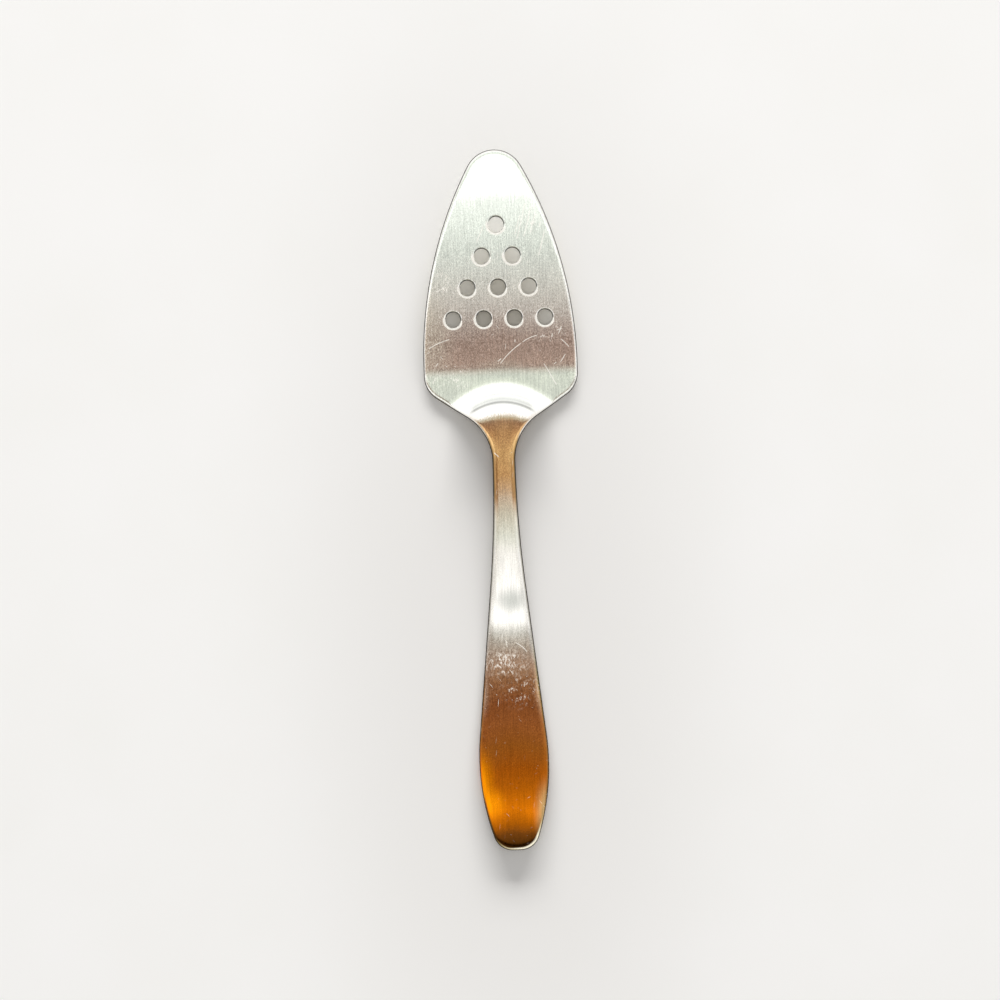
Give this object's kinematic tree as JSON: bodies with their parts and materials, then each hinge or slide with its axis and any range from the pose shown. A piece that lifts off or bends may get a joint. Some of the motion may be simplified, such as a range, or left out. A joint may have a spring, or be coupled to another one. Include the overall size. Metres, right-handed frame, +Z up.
{
  "type": "pierced cake server",
  "caption": "One-piece stainless steel cake server: flat tapering blade with a triangle of drain holes, stepped heel, slim neck and broad handle.",
  "frame": {"origin": "on the table that the server lies on, under the axis, halfway between the blade's tip and the handle's end", "axes": "+Y along the axis towards the blade's tip, +X to the right seen from above, +Z up from the table"},
  "size_m": [0.0532, 0.24, 0.0085],
  "materials": {
    "stainless_steel": "brushed lengthwise, with fine scratches from use"
  },
  "bodies": {
    "root": {"cake_server": "stainless_steel"}
  },
  "joints": []
}
